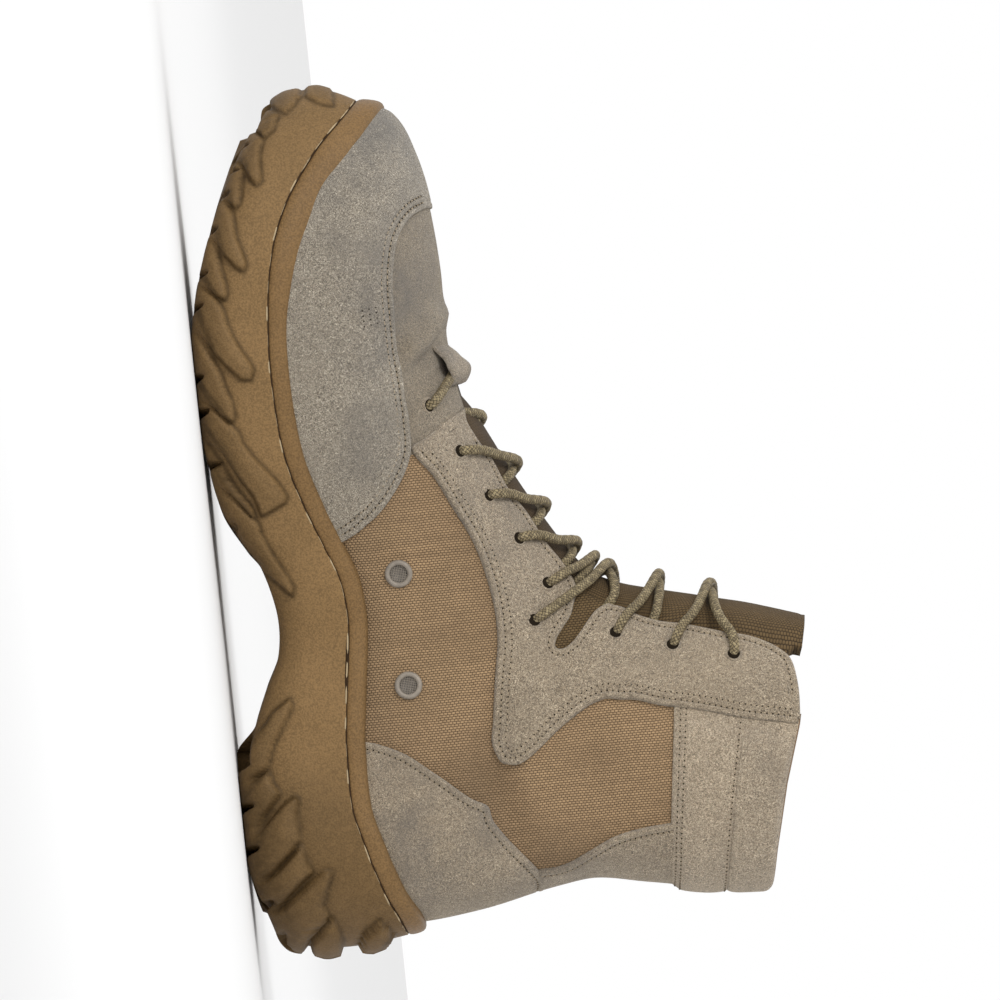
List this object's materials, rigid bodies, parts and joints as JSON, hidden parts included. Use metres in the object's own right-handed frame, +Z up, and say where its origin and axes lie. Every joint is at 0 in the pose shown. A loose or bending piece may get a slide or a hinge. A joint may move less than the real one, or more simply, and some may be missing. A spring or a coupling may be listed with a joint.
{
  "type": "combat boot",
  "caption": "Laced suede and nylon desert boot with a padded collar, drain vents and a lugged rubber sole; right foot, standing empty.",
  "frame": {"origin": "middle of the boot's bottom on the floor plane", "axes": "+X to the toe, +Y to the inner (big-toe) side, +Z up"},
  "size_m": [0.312, 0.116, 0.2122],
  "materials": {
    "rubber": "matt, finely grained tan rubber",
    "nylon": "coarse plain-woven tan nylon",
    "dark_nylon": "fine brown nylon weave",
    "foam": "dark fabric-covered foam",
    "suede": "short-napped grey-beige suede",
    "vent_metal": "taupe paint, slightly worn",
    "cord": "round braid with pale and dark flecks"
  },
  "bodies": {
    "root": {"outsole": "rubber", "welt": "rubber", "upper": "nylon", "tongue": "dark_nylon", "insole": "foam", "toe_guard": "suede", "heel_counter": "suede", "backstay": "suede", "collar": "suede", "eyestay_inner": "suede", "eyestay_outer": "suede", "vent_front": "vent_metal", "vent_rear": "vent_metal", "lace_keeper": "suede", "lace_bar": "cord", "lace_crossing_2": "cord", "lace_crossing_3": "cord", "lace_crossing_4": "cord", "lace_crossing_5": "cord", "lace_crossing_6": "cord", "lace_crossing_7": "cord", "lace_crossing_8": "cord"}
  },
  "joints": []
}
